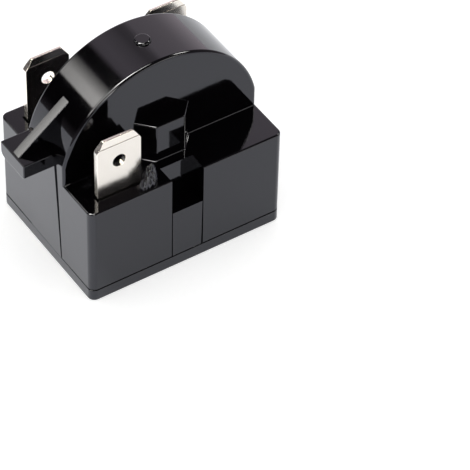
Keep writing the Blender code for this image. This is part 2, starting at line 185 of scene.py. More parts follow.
def mouldedBlack(name, values):
    # glossy moulding: faint flow waves, a fine skin, and a gloss that varies a little
    made, nodes, links = newMaterial(name)
    shader = nodes["Principled BSDF"]
    point = objectPoint(nodes, links)
    waves = grain(nodes, links, point, values["waveScale"], 1.0)
    stretched = objectPoint(nodes, links, values["skinStretch"])
    skin = grain(nodes, links, stretched, values["skinScale"], 3.0, 0.6)
    tone = grain(nodes, links, point, values["toneScale"], 4.0, 0.6)
    links.new(blend(nodes, links, tone, values["dark"], values["light"]), shader.inputs["Base Color"])
    links.new(spread(nodes, links, tone, *values["gloss"], *noiseSpan), shader.inputs["Roughness"])
    first = relief(nodes, links, waves, values["waveDepth"])
    links.new(relief(nodes, links, skin, values["skinDepth"], first), shader.inputs["Normal"])
    shader.inputs["IOR"].default_value = values["ior"]
    shader.inputs["Specular Tint"].default_value = (*values["shine"], 1)
    return made


housingBlack = mouldedBlack("housing_black", {
    "dark": (0.0006, 0.0005, 0.0007), "light": (0.0014, 0.0012, 0.0016), "gloss": (0.045, 0.085),
    "ior": 1.5, "shine": (0.89, 0.9, 1.0), "waveScale": 160, "waveDepth": 0.000004,
    "skinScale": 7000, "skinStretch": (0.3, 1, 0.3), "skinDepth": 0.0000019, "toneScale": 240,
})
coverBlack = mouldedBlack("cover_black", {
    "dark": (0.003, 0.003, 0.0035), "light": (0.006, 0.006, 0.007), "gloss": (0.14, 0.2),
    "ior": 1.5, "shine": (0.89, 0.9, 1.0), "waveScale": 220, "waveDepth": 0.000004,
    "skinScale": 3200, "skinStretch": (1, 1, 1), "skinDepth": 0.000001, "toneScale": 300,
})


def tinPlate(name, values):
    # bright tin over rolled brass: fine lines along the strip, and soft mottling
    made, nodes, links = newMaterial(name)
    shader = nodes["Principled BSDF"]
    shader.inputs["Metallic"].default_value = 1.0
    stretched = objectPoint(nodes, links, values["lineStretch"])
    rolled = grain(nodes, links, stretched, values["lineScale"], 3.0, 0.7)
    mottle = grain(nodes, links, objectPoint(nodes, links), values["mottleScale"], 4.0, 0.6)
    links.new(blend(nodes, links, mottle, values["dull"], values["bright"]), shader.inputs["Base Color"])
    links.new(spread(nodes, links, mottle, *values["gloss"], *noiseSpan), shader.inputs["Roughness"])
    first = relief(nodes, links, rolled, values["lineDepth"])
    links.new(relief(nodes, links, mottle, values["mottleDepth"], first), shader.inputs["Normal"])
    return made


tin = tinPlate("tin_plate", {
    "dull": (0.79, 0.745, 0.675), "bright": (0.89, 0.845, 0.775), "gloss": (0.17, 0.24),
    "lineStretch": (1.0, 1.0, 0.04), "lineScale": 2600, "lineDepth": 0.0000018,
    "mottleScale": 900, "mottleDepth": 0.0000012,
})


def bareMetal(name, values):
    # metal whose tone, gloss and relief follow one grain
    made, nodes, links = newMaterial(name)
    shader = nodes["Principled BSDF"]
    shader.inputs["Metallic"].default_value = 1.0
    stretched = objectPoint(nodes, links, values["stretch"])
    lines = grain(nodes, links, stretched, values["scale"], values["detail"], values["rough"])
    links.new(blend(nodes, links, lines, values["dull"], values["bright"]), shader.inputs["Base Color"])
    links.new(spread(nodes, links, lines, *values["gloss"]), shader.inputs["Roughness"])
    links.new(relief(nodes, links, lines, values["depth"]), shader.inputs["Normal"])
    return made


steel = bareMetal("strip_steel", {      # rolled spring strip, with its grain along the leaf
    "dull": (0.42, 0.42, 0.43), "bright": (0.62, 0.62, 0.63), "gloss": (0.24, 0.38),
    "stretch": (1.0, 0.3, 0.05), "scale": 3000, "detail": 3.0, "rough": 0.7, "depth": 0.000002,
})
brass = bareMetal("turned_brass", {     # a little tarnished in patches
    "dull": (0.62, 0.45, 0.2), "bright": (0.83, 0.66, 0.36), "gloss": (0.36, 0.22),
    "stretch": (1, 1, 1), "scale": 1200, "detail": 4.0, "rough": 0.6, "depth": 0.000003,
})


def firedCeramic(name, values):
    # a grey pill with a silvered, finely granular surface
    made, nodes, links = newMaterial(name)
    shader = nodes["Principled BSDF"]
    shader.inputs["Metallic"].default_value = values["silver"]
    point = objectPoint(nodes, links)
    grains = nodes.new("ShaderNodeTexVoronoi")
    grains.inputs["Scale"].default_value = values["grainScale"]
    links.new(point, grains.inputs["Vector"])
    cloud = grain(nodes, links, point, values["cloudScale"], 4.0, 0.6)
    links.new(blend(nodes, links, cloud, values["dark"], values["light"]), shader.inputs["Base Color"])
    links.new(spread(nodes, links, cloud, *values["gloss"]), shader.inputs["Roughness"])
    links.new(relief(nodes, links, grains.outputs["Distance"], values["grainDepth"]), shader.inputs["Normal"])
    return made


ceramic = firedCeramic("fired_ceramic", {
    "dark": (0.24, 0.24, 0.25), "light": (0.38, 0.38, 0.39), "gloss": (0.5, 0.65), "silver": 0.35,
    "grainScale": 6000, "grainDepth": 0.00001, "cloudScale": 350,
})


def clearResin(name, values):
    # half clear and smoky, with a wrinkled surface
    made, nodes, links = newMaterial(name)
    shader = nodes["Principled BSDF"]
    shader.inputs["Transmission Weight"].default_value = values["clear"]
    shader.inputs["IOR"].default_value = values["ior"]
    wrinkles = grain(nodes, links, objectPoint(nodes, links), values["scale"], 3.0, 0.6)
    links.new(blend(nodes, links, wrinkles, values["dark"], values["light"]), shader.inputs["Base Color"])
    links.new(spread(nodes, links, wrinkles, *values["gloss"]), shader.inputs["Roughness"])
    links.new(relief(nodes, links, wrinkles, values["depth"]), shader.inputs["Normal"])
    return made


resin = clearResin("clear_resin", {
    "dark": (0.004, 0.004, 0.007), "light": (0.03, 0.03, 0.05), "gloss": (0.02, 0.08), "clear": 0.5,
    "ior": 1.5, "scale": 1100, "depth": 0.00003,
})
print("materials made")


# Small helpers for shapes

def boxOf(node):
    # lowest and highest corner of a CAD node, in millimetres
    low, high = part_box(node)
    return Vector(low) / mm, Vector(high) / mm


def everything(bm):
    return bm.verts[:] + bm.edges[:] + bm.faces[:]


def newVerts(made):
    return [item for item in made["geom"] if isinstance(item, bmesh.types.BMVert)]


def on(a, b, axis, value):
    return abs(a[axis] - value) < tiny and abs(b[axis] - value) < tiny


def edgesWhere(bm, test):
    return [edge for edge in bm.edges if test(edge.verts[0].co, edge.verts[1].co)]


def block(low, high):
    bm = bmesh.new()
    low, high = Vector(low), Vector(high)
    place = Matrix.Translation((low + high) / 2) @ Matrix.Diagonal((*(high - low), 1))
    bmesh.ops.create_cube(bm, size=1, matrix=place)
    return bm


def rod(center, radius, low, high, axis="Z", farRadius=None, segments=64):
    # a cylinder or cone from low to high along an axis; center is the other two coordinates
    bm = bmesh.new()
    turn = Matrix.Rotation(-math.pi / 2, 4, "X") if axis == "Y" else Matrix.Identity(4)
    middle = (low + high) / 2
    place = (center[0], middle, center[1]) if axis == "Y" else (center[0], center[1], middle)
    bmesh.ops.create_cone(bm, cap_ends=True, segments=segments, radius1=radius,
                          radius2=radius if farRadius is None else farRadius, depth=high - low,
                          matrix=Matrix.Translation(place) @ turn)
    return bm


def push(bm, faces, vector):
    # draws faces out along a vector, as one region
    made = bmesh.ops.extrude_face_region(bm, geom=faces)
    bmesh.ops.translate(bm, verts=newVerts(made), vec=vector)


def trim(bm, point, away):
    # cuts off what lies past a plane, and closes the cut
    cut = bmesh.ops.bisect_plane(bm, geom=everything(bm), plane_co=point, plane_no=away, clear_outer=True)
    rim = [item for item in cut["geom_cut"] if isinstance(item, bmesh.types.BMEdge)]
    if rim:
        bmesh.ops.contextual_create(bm, geom=rim)


def bevel(bm, edges, offset, segments):
    bmesh.ops.bevel(bm, geom=edges, offset=offset, offset_type="OFFSET", segments=segments, profile=0.5,
                    affect="EDGES", material=-1, clamp_overlap=True)


def outward(bm):
    bmesh.ops.recalc_face_normals(bm, faces=bm.faces[:])
    if bm.calc_volume(signed=True) < 0:
        bmesh.ops.reverse_faces(bm, faces=bm.faces[:])


def helperObject(bm):
    outward(bm)
    mesh = bpy.data.meshes.new("helper")
    bm.to_mesh(mesh)
    bm.free()
    item = bpy.data.objects.new("helper", mesh)
    bpy.context.scene.collection.objects.link(item)
    return item


def carve(bm, steps):
    # joins and cuts a shape with others, then clears the seams that lie within flat faces
    body = helperObject(bm)
    tools = []
    for operation, shape in steps:
        tool = helperObject(shape)
        cut = body.modifiers.new("cut", "BOOLEAN")
        cut.operation = operation
        cut.object = tool
        cut.solver = "EXACT"
        tools.append(tool)
    graph = bpy.context.evaluated_depsgraph_get()
    mesh = bpy.data.meshes.new_from_object(body.evaluated_get(graph))
    result = bmesh.new()
    result.from_mesh(mesh)
    bpy.data.meshes.remove(mesh)
    for item in [body] + tools:
        used = item.data
        bpy.data.objects.remove(item)
        bpy.data.meshes.remove(used)
    bmesh.ops.remove_doubles(result, verts=result.verts[:], dist=weld)
    bmesh.ops.dissolve_limit(result, angle_limit=math.radians(flatTurn), verts=result.verts[:],
                             edges=result.edges[:])
    return result


shading = {
    "seam": 12,      # an edge that turns by less than this many degrees runs within a surface
    "sharp": 32,     # an edge that isn't rounded and turns by more than this stays crisp
    "merge": 34,     # faces at a corner that turn by less than this share a normal
}


def markRounds(bm, radiusOf, largest, creaseOf=None, sharpFrom=shading["sharp"]):
    # writes each edge's rounding as a bevel weight, and keeps the other corners crisp
    outward(bm)
    weight = bm.edges.layers.float.new("bevel_weight_edge")
    for face in bm.faces:
        face.smooth = True
    for edge in bm.edges:
        turn = math.degrees(edge.calc_face_angle(0))
        radius = radiusOf(edge) if turn > shading["seam"] else 0
        edge[weight] = radius / largest
        edge.smooth = radius > 0 or turn < sharpFrom
        if creaseOf and radius == 0 and creaseOf(edge):
            edge.smooth = False


def roundedMesh(item, largest, segments):
    # the mesh with its marked edges rounded, each by its own weight
    rounding = item.modifiers.new("rounding", "BEVEL")
    rounding.limit_method = "WEIGHT"
    rounding.width = largest * mm
    rounding.segments = segments
    rounding.use_clamp_overlap = False
    graph = bpy.context.evaluated_depsgraph_get()
    mesh = bpy.data.meshes.new_from_object(item.evaluated_get(graph))
    item.modifiers.remove(rounding)
    return mesh


def levelNormals(mesh):
    # flat faces shade flat and the narrow roundings blend into them: the faces at a corner that turn only
    # a little share a normal, the larger ones with more say
    bm = bmesh.new()
    bm.from_mesh(mesh)
    bm.faces.ensure_lookup_table()
    limit = math.cos(math.radians(shading["merge"]))
    areas = [face.calc_area() for face in bm.faces]
    shared = {}
    for vert in bm.verts:
        for face in vert.link_faces:
            group = [face]      # it grows while the next lines run through it
            for here in group:
                for edge in here.edges:
                    if vert in edge.verts and edge.smooth:
                        for other in edge.link_faces:
                            if other not in group and other.normal.dot(face.normal) > limit:
                                group.append(other)
            total = Vector()
            for other in group:
                total += other.normal * areas[other.index]
            shared[(face.index, vert.index)] = total.normalized()
    normals = []
    for polygon in mesh.polygons:
        for index in polygon.vertices:
            normals.append(shared[(polygon.index, index)])
    bm.free()
    mesh.normals_split_custom_set(normals)


def addPiece(name, bm, finish, node, largest=None, segments=4):
    # makes a shape a piece of the scene, which stands in for a CAD node
    bmesh.ops.scale(bm, verts=bm.verts[:], vec=(mm, mm, mm))
    mesh = bpy.data.meshes.new(name)
    bm.to_mesh(mesh)
    bm.free()
    item = bpy.data.objects.new(name, mesh)
    bpy.context.scene.collection.objects.link(item)
    if largest:
        item.data = roundedMesh(item, largest, segments)
        item.data.name = name
        bpy.data.meshes.remove(mesh)
        levelNormals(item.data)
    item.data.materials.clear()
    item.data.materials.append(finish)
    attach(item, "root")
    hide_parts(node)
    return item


# The housing is built on the planes that the frame gives. The drum's top lies under the gate button.
housing = {
    "shelfTop": 14.8,
    "frontShelf": 6.2,
    "rearShelf": 6.8,
    "drumAxis": 14.4,
    "drumSegments": 200,
    "wall": 1.3,
    "cornerRound": 0.95,
    "cornerSteps": 10,
    "shelfRound": 0.24,
    "rimRound": 0.42,
    "footRound": 0.06,
    "footDrop": 0.12,        # the skirt hangs this far into the seam over the cover
    "cove": 0.16,
    "slotGap": 0.2,
    "slotRound": 0.08,
}
notch = {
    "width": 4.6,
    "depth": 2.65,
    "floor": 9.2,
    "leftSlit": 0.15,
    "rightSlit": 0.25,
    "slitHead": 0.12,        # a slit's width at its head
    "round": 0.06,
}
gate = {"width": 2.15, "height": 0.32, "round": 0.28, "roundSteps": 6}

housingLow, housingHigh = boxOf("housing")
coverLow, coverHigh = boxOf("base_cover")
halfWidth = coverHigh.x
halfDepth = coverHigh.y
shelfTop = housing["shelfTop"]
foot = housingLow.z - housing["footDrop"]
drumTop = housingHigh.z - gate["height"]
drumRadius = drumTop - housing["drumAxis"]
drumFront = -halfDepth + housing["frontShelf"]
drumRear = halfDepth - housing["rearShelf"]
drumMiddle = (drumFront + drumRear) / 2


def drumSlab(radius, half, low, front, rear):
    # a round plate with its two sides cut upright and its lower edge drawn down
    bm = bmesh.new()
    upright = Matrix.Translation((0, front, housing["drumAxis"])) @ Matrix.Rotation(math.pi / 2, 4, "X")
    bmesh.ops.create_circle(bm, cap_ends=True, segments=housing["drumSegments"], radius=radius,
                            matrix=upright)
    cuts = (((half, 0, 0), (1, 0, 0)), ((-half, 0, 0), (-1, 0, 0)), ((0, 0, shelfTop), (0, 0, -1)))
    for point, away in cuts:
        bmesh.ops.bisect_plane(bm, geom=everything(bm), plane_co=point, plane_no=away, clear_outer=True)
    lowest = edgesWhere(bm, lambda a, b: on(a, b, 2, shelfTop))
    drawn = bmesh.ops.extrude_edge_only(bm, edges=lowest)
    bmesh.ops.translate(bm, verts=newVerts(drawn), vec=(0, 0, low - shelfTop))
    push(bm, bm.faces[:], (0, rear - front, 0))
    return bm


def outerShell():
    bm = drumSlab(drumRadius, halfWidth, foot, drumFront, drumRear)
    for y, depth in ((drumFront, -housing["frontShelf"]), (drumRear, housing["rearShelf"])):
        low = [face for face in bm.faces if all(abs(vert.co.y - y) < tiny for vert in face.verts)
               and face.calc_center_median().z < shelfTop]
        push(bm, low, (0, depth, 0))
        bmesh.ops.delete(bm, geom=low, context="FACES")
    outward(bm)
    corners = edgesWhere(bm, lambda a, b: abs(a.z - b.z) > tiny and abs(a.x - b.x) < tiny
                         and abs(abs(a.x) - halfWidth) < tiny and abs(abs(a.y) - halfDepth) < tiny)
    bevel(bm, corners, housing["cornerRound"], housing["cornerSteps"])
    return bm


disc = {"radius": 10.0, "thickness": 2.6, "gap": 0.3, "ribWidth": 1.4, "ribAngles": (40, 90, 140)}


def inside():
    # the hollow for the disc, the springs and the strips, with the ribs that hold the disc left standing
    wall = housing["wall"]
    half = halfWidth - wall
    hollow = block((-half, -halfDepth + wall, 0), (half, halfDepth - wall, shelfTop - wall))
    drum = drumSlab(drumRadius - wall, half, bite, drumFront + wall, drumRear - wall)
    keep = notch["width"] / 2 + wall
    steps = [("UNION", drum),
             ("DIFFERENCE", block((-keep, -halfDepth, notch["floor"] - wall),
                                  (keep, -halfDepth + notch["depth"] + wall, shelfTop)))]
    start = disc["radius"] + disc["gap"]
    for degrees in disc["ribAngles"]:
        rib = block((start, -disc["thickness"] / 2, -disc["ribWidth"] / 2),
                    (drumRadius, disc["thickness"] / 2, disc["ribWidth"] / 2))
        turn = Matrix.Rotation(-math.radians(degrees), 4, "Y")
        rib.transform(Matrix.Translation((0, drumMiddle, housing["drumAxis"])) @ turn)
        steps.append(("DIFFERENCE", rib))
    return carve(hollow, steps)


boss = {"backWidth": 8.0, "frontWidth": 4.1, "depth": 2.2, "height": 5.6, "round": 0.2, "roundSteps": 3}


def bossShape():
    bm = block((-boss["backWidth"] / 2, drumFront - boss["depth"], shelfTop - bite),
               (boss["backWidth"] / 2, drumFront + bite, shelfTop + boss["height"]))
    slope = (boss["backWidth"] - boss["frontWidth"]) / 2
    for side in (-1, 1):
        trim(bm, (side * boss["backWidth"] / 2, drumFront, 0), (side * boss["depth"], -slope, 0))
    top = shelfTop + boss["height"]
    edges = edgesWhere(bm, lambda a, b: min(a.y, b.y) < drumFront - tiny and
                       (on(a, b, 2, top) or (abs(a.x - b.x) < tiny and abs(a.y - b.y) < tiny)))
    bevel(bm, edges, boss["round"], boss["roundSteps"])
    return bm


ear = {
    "length": 5.5,
    "thickness": 2.2,
    "top": 18.25,
    "behindDrumMiddle": 0.85,
    "round": 0.14,
    "roundSteps": 3,
    "frontRound": 0.4,       # the two long edges underneath
    "rearRound": 0.8,
    "underSteps": 6,
}


def earShape():
    middle = drumMiddle + ear["behindDrumMiddle"]
    front, rear = middle - ear["length"] / 2, middle + ear["length"] / 2
    low, top = ear["top"] - ear["thickness"], ear["top"]
    bm = block((housingLow.x, front, low), (-halfWidth + bite, rear, top))
    for y, radius in ((front, ear["frontRound"]), (rear, ear["rearRound"])):
        bevel(bm, edgesWhere(bm, lambda a, b: on(a, b, 1, y) and on(a, b, 2, low)), radius, ear["underSteps"])
    rest = edgesWhere(bm, lambda a, b: on(a, b, 2, top) or on(a, b, 0, housingLow.x))
    bevel(bm, rest, ear["round"], ear["roundSteps"])
    return bm


gusset = {
    "thickness": 1.4,
    "top": 24.0,
    "behindDrumMiddle": 0.4,
    "toe": 0.3,
    "toeHeight": 0.05,
    "round": 0.1,
    "roundSteps": 3,
    "headAside": 1.3,        # its head lies this near to the drum's middle plane,
    "headLeft": -9,          # to the left of this place
    "headDepth": 0.5,        # and no deeper than this under its top
}


def gussetShape():
    # a web from the ear's end up to the drum
    rise = math.sqrt(drumRadius ** 2 - (gusset["top"] - housing["drumAxis"]) ** 2)
    toe = Vector((housingLow.x + gusset["toe"], 0, ear["top"] + gusset["toeHeight"]))
    head = Vector((-rise, 0, gusset["top"]))
    middle = drumMiddle + gusset["behindDrumMiddle"]
    half = gusset["thickness"] / 2
    inner = housing["wall"] / 2
    bm = block((toe.x, middle - half, ear["top"] - bite),
               (head.x + inner, middle + half, gusset["top"] + inner))
    slope = head - toe
    trim(bm, toe, (-slope.z, 0, slope.x))
    # the side towards the disc stays within the drum's wall
    trim(bm, head + Vector((inner, 0, -inner)), (1, 0, -(head.x + halfWidth) / (gusset["top"] - ear["top"])))
    along = slope.normalized()
    top = edgesWhere(bm, lambda a, b: abs(a.y - b.y) < tiny
                     and abs((a - b).normalized().dot(along)) > sameWay)
    bevel(bm, top, gusset["round"], gusset["roundSteps"])
    return bm


pad = {"proudTop": 0.18, "proudFoot": 0.07, "front": 3.31, "draft": 1.0, "rearInset": 0.5}


def padShape():
    # the slide pad on the left wall, which leans in towards the foot and widens at its front
    front = drumMiddle - pad["front"]
    rear = drumRear - pad["rearInset"]
    bm = block((-halfWidth - pad["proudTop"], front, foot), (-halfWidth + bite, rear, ear["top"]))
    for vert in bm.verts:
        if abs(vert.co.z - foot) < tiny:
            if vert.co.x < -halfWidth:
                vert.co.x = -halfWidth - pad["proudFoot"]
        elif vert.co.y < drumMiddle:
            vert.co.y += pad["draft"]
    return bm


def gateButton():
    # the low round button that the moulding gate leaves on top
    top = housingHigh.z
    bm = rod((0, drumMiddle), gate["width"] / 2, drumTop - bite, top)
    bevel(bm, edgesWhere(bm, lambda a, b: on(a, b, 2, top)), gate["round"], gate["roundSteps"])
    return bm


blade = {
    "width": 6.2,
    "thickness": 0.8,
    "cornerWidth": 1.0,
    "cornerHeight": 1.45,
    "taper": 1.0,
    "lead": 0.2,
    "score": 0.07,           # side of the square bar that scores the line where the tip starts to thin
    "holeRadius": 0.9,
    "holeDrop": 3.8,
    "holeSegments": 96,
    "holeFacet": 0.07,       # an edge shorter than this lies round the hole
    "holeRound": 0.07,
    "edgeRound": 0.07,
    "edgeTurn": 46,          # a corner that turns by more than this many degrees is rounded
    "sharpTurn": 8,          # the strips' own value for what shading calls sharp
    "roundSteps": 3,
}
frontLow, frontHigh = boxOf("front_terminal")
rearLow, rearHigh = boxOf("rear_terminal")
rearBladeY = rearHigh.y - blade["thickness"]
frontBlade = (frontLow.x, frontLow.y)
rearBlades = ((rearLow.x, rearBladeY), (rearHigh.x - blade["width"], rearBladeY))


def bladeSlot(x, y):
    # the slot that a blade comes up through
    gap = housing["slotGap"]
    return block((x - gap, y - gap, shelfTop - housing["wall"] - bite),
                 (x + blade["width"] + gap, y + blade["thickness"] + gap, shelfTop + bite))


def onSkirt(point):
    inX = abs(point.x) > halfWidth - housing["cornerRound"] - tiny
    inY = abs(point.y) > halfDepth - housing["cornerRound"] - tiny
    return (inX and inY) or abs(abs(point.x) - halfWidth) < tiny or abs(abs(point.y) - halfDepth) < tiny


def housingRound(edge):
    # the rounding of each of the housing's edges, by where it lies
    a, b = edge.verts[0].co, edge.verts[1].co
    aside = max(abs(a.x), abs(b.x))
    inNotch = aside < notch["width"] / 2 + tiny and max(a.y, b.y) < -halfDepth + notch["depth"] + tiny
    if inNotch and on(a, b, 2, shelfTop):
        return notch["round"]
    if on(a, b, 2, shelfTop):
        if not edge.is_convex:
            return housing["cove"]
        return housing["shelfRound"] if onSkirt(a) and onSkirt(b) else housing["slotRound"]
    if on(a, b, 2, foot) and edge.is_convex and onSkirt(a) and onSkirt(b):
        return housing["footRound"]
    onRim = on(a, b, 1, drumFront) or on(a, b, 1, drumRear)
    byBoss = aside < boss["backWidth"] / 2 + tiny and max(a.z, b.z) < shelfTop + boss["height"] + tiny
    if onRim and edge.is_convex and min(a.z, b.z) > shelfTop - tiny and not byBoss:
        return housing["rimRound"]
    return 0


def housingCrease(edge):
    # the gusset's head, where it meets the drum
    a, b = edge.verts[0].co, edge.verts[1].co
    inGusset = max(abs(a.y - drumMiddle), abs(b.y - drumMiddle)) < gusset["headAside"]
    high = min(a.z, b.z) > gusset["top"] - gusset["headDepth"]
    return inGusset and max(a.x, b.x) < gusset["headLeft"] and high


def squareSeams(bm, levels):
    # the seams from the slots to the shelves' edges run square to those edges, so that they round evenly
    def onTop(face):
        return face.normal.z > sameWay and all(abs(vert.co.z - shelfTop) < tiny for vert in face.verts)

    def slanted(edge):
        a, b = edge.verts[0].co, edge.verts[1].co
        return min(abs(a.x - b.x), abs(a.y - b.y)) > tiny

    outward(bm)
    for y in levels:
        faces = [face for face in bm.faces if onTop(face)]
        edges = [edge for edge in bm.edges if any(onTop(face) for face in edge.link_faces)]
        verts = [vert for vert in bm.verts if any(onTop(face) for face in vert.link_faces)]
        bmesh.ops.bisect_plane(bm, geom=faces + edges + verts, plane_co=(0, y, 0), plane_no=(0, 1, 0))
        bm.normal_update()
    seams = [edge for edge in bm.edges if len(edge.link_faces) == 2
             and all(onTop(face) for face in edge.link_faces) and slanted(edge)]
    bmesh.ops.dissolve_edges(bm, edges=seams, use_verts=False)


def notchSlits():
    # the two narrow slits down the front wall, each narrower at its head than at the foot
    half = notch["width"] / 2
    for low, width in ((-half, notch["leftSlit"]), (half - notch["rightSlit"], notch["rightSlit"])):
        slit = block((low, -halfDepth - bite, foot - bite),
                     (low + width, -halfDepth + housing["wall"] + bite, notch["floor"] + bite))
        for vert in slit.verts:
            if vert.co.z > notch["floor"] and abs(vert.co.x) < half - tiny:
                vert.co.x = math.copysign(half - notch["slitHead"], low)
        yield slit


def makeHousing():
    half = notch["width"] / 2
    blades = (frontBlade, *rearBlades)
    bm = carve(outerShell(), [
        ("UNION", bossShape()),
        ("UNION", padShape()),
        ("UNION", earShape()),
        ("UNION", gussetShape()),
        ("DIFFERENCE", inside()),
        ("DIFFERENCE", block((-half, -halfDepth - bite, notch["floor"]),
                             (half, -halfDepth + notch["depth"], shelfTop + bite))),
        *[("DIFFERENCE", slit) for slit in notchSlits()],
        *[("DIFFERENCE", bladeSlot(x, y)) for x, y in blades],
        ("UNION", gateButton()),
    ])
    squareSeams(bm, {y + blade["thickness"] + housing["slotGap"] for x, y in blades})
    largest = housing["rimRound"]
    markRounds(bm, housingRound, largest, housingCrease)
    addPiece("relay_housing", bm, housingBlack, "housing", largest)


makeHousing()
print("housing made")

socket = {
    "radius": 1.8,
    "wall": 0.6,
    "height": 8.2,
    "slit": 0.9,
    "flare": 0.18,
    "flareHeight": 0.7,
    "steps": 48,
    "round": 0.06,
    "roundSteps": 2,
    "roundTurn": 50,
}


def pinPlace(node, side):
    # a sleeve's middle, measured from the side away from its slit
    low, high = boxOf(node)
    edge = low.y if side < 0 else high.y
    return (low.x + high.x) / 2, edge - side * socket["radius"]


frontPin = pinPlace("front_pin_socket", -1)
rearPin = pinPlace("rear_pin_socket", 1)

cover = {
    "thickness": 1.65,
    "bottomRound": 0.15,
    "topRound": 0.06,
    "holeRound": 0.05,
    "lipHeight": 0.9,
    "lipThickness": 0.9,
    "lipGap": 0.3,
    "pinHole": 1.6,
    "pinFunnel": 2.1,
    "funnelDepth": 0.5,
    "cradleWidth": 9.0,
    "cradleSegments": 128,
}


def coverRound(edge):
    a, b = edge.verts[0].co, edge.verts[1].co
    if not edge.is_convex:
        return 0
    if on(a, b, 2, 0):
        return cover["bottomRound"] if onSkirt(a) and onSkirt(b) else cover["holeRound"]
    if on(a, b, 2, cover["thickness"]) and onSkirt(a) and onSkirt(b):
        return cover["topRound"]
    return 0


def coverLip():
    # the low wall that fits inside the housing's skirt
    thickness = cover["thickness"]
    outer = Vector((halfWidth, halfDepth)) - Vector((1, 1)) * (housing["wall"] + cover["lipGap"])
    inner = outer - Vector((1, 1)) * cover["lipThickness"]
    top = thickness + cover["lipHeight"]
    return carve(block((-outer.x, -outer.y, thickness - bite), (outer.x, outer.y, top)),
                 [("DIFFERENCE", block((-inner.x, -inner.y, 0), (inner.x, inner.y, top + bite)))])


def discCradle():
    half = disc["thickness"] / 2
    top = housing["drumAxis"] - math.sqrt(disc["radius"] ** 2 - cover["cradleWidth"] ** 2 / 4)
    seat = rod((0, housing["drumAxis"]), disc["radius"] + disc["gap"], drumMiddle - half - bite,
               drumMiddle + half + bite, "Y", segments=cover["cradleSegments"])
    return carve(block((-cover["cradleWidth"] / 2, drumMiddle - half, cover["thickness"] - bite),
                       (cover["cradleWidth"] / 2, drumMiddle + half, top)), [("DIFFERENCE", seat)])


def makeCover():
    thickness = cover["thickness"]
    bm = block((-halfWidth, -halfDepth, 0), (halfWidth, halfDepth, thickness))
    upright = edgesWhere(bm, lambda a, b: abs(a.z - b.z) > tiny)
    bevel(bm, upright, housing["cornerRound"], housing["cornerSteps"])
    steps = [("UNION", coverLip()), ("UNION", discCradle())]
    top = thickness + cover["lipHeight"]
    # the funnel goes on past the face it opens in, at the same slope
    slope = (cover["pinFunnel"] - cover["pinHole"]) / cover["funnelDepth"]
    for place in (frontPin, rearPin):
        steps.append(("DIFFERENCE", rod(place, cover["pinHole"], -bite, top + bite)))
        steps.append(("DIFFERENCE", rod(place, cover["pinFunnel"] + slope * bite, -bite, cover["funnelDepth"],
                                        farRadius=cover["pinHole"])))
    bm = carve(bm, steps)
    markRounds(bm, coverRound, cover["bottomRound"])
    addPiece("relay_cover", bm, coverBlack, "base_cover", cover["bottomRound"])


makeCover()
print("cover made")


def bladeShape(x, y, low, top):
    # one flat blade with cut corners, thinned towards its tip
    half = blade["width"] / 2
    middle = x + half
    bm = block((x, y, low), (x + blade["width"], y + blade["thickness"], top))
    for side in (-1, 1):
        trim(bm, (middle + side * half, y, top - blade["cornerHeight"]),
             (side * blade["cornerHeight"], 0, blade["cornerWidth"]))
        face = y if side < 0 else y + blade["thickness"]
        trim(bm, (middle, face, top - blade["taper"]), (0, side * blade["taper"], blade["lead"]))
    return bm


def bladeScores(x, y, top):
    # the fine line that coining leaves across each face at the foot of the thinned tip
    half = blade["score"] / 2
    turn = Matrix.Rotation(math.pi / 4, 4, "X")
    for face in (y, y + blade["thickness"]):
        bar = block((x - bite, -half, -half), (x + blade["width"] + bite, half, half))
        bar.transform(Matrix.Translation((0, face, top - blade["taper"])) @ turn)
        yield bar


def bladeHole(x, y, top):
    center = (x + blade["width"] / 2, top - blade["holeDrop"])
    return rod(center, blade["holeRadius"], y - bite, y + blade["thickness"] + bite, "Y",
               segments=blade["holeSegments"])


def bladeRound(edge):
    a, b = edge.verts[0].co, edge.verts[1].co
    if (a - b).length < blade["holeFacet"] and min(a.z, b.z) > shelfTop:
        return blade["holeRound"] if edge.is_convex else 0
    turn = math.degrees(edge.calc_face_angle(0))
    return blade["edgeRound"] if edge.is_convex and turn > blade["edgeTurn"] else 0


strip = {
    "busDrop": 3.3,          # how far below the shelf the bus between the rear blades ends
    "pinEnd": 1.1,           # metal left past a sleeve's side
    "rivetEnd": 2.0,         # metal left past a rivet's middle
    "pinGap": 0.3,
    "rivetHole": 1.2,
}
stripLow = frontLow.z
stripTop = stripLow + blade["thickness"]


def rivetPlace(node):
    low, high = boxOf(node)
    return (low.x + high.x) / 2, (low.y + high.y) / 2


def makeStrip(name, node, blades, plates, pin, rivet):
    # one pressed strip: blades and plates in one, with holes for the pin sleeve and the rivet
    steps = [("UNION", plate) for plate in plates]
    for x, y, top in blades[1:]:
        steps.append(("UNION", bladeShape(x, y, stripLow, top)))
    for x, y, top in blades:
        steps.append(("DIFFERENCE", bladeHole(x, y, top)))
        steps += [("DIFFERENCE", bar) for bar in bladeScores(x, y, top)]
    for spot, radius in ((pin, socket["radius"] + strip["pinGap"]), (rivet, strip["rivetHole"])):
        steps.append(("DIFFERENCE", rod(spot, radius, stripLow - bite, stripTop + bite)))
    x, y, top = blades[0]
    bm = carve(bladeShape(x, y, stripLow, top), steps)
    markRounds(bm, bladeRound, blade["holeRound"], sharpFrom=blade["sharpTurn"])
    addPiece(name, bm, tin, node, blade["holeRound"], blade["roundSteps"])


def makeFrontStrip():
    footPlate = block((frontLow.x, frontLow.y, stripLow), (frontHigh.x, frontHigh.y, stripTop))
    makeStrip("front_blade_strip", "front_terminal", [(*frontBlade, frontHigh.z)], [footPlate], frontPin,
              rivetPlace("front_contact_rivet"))


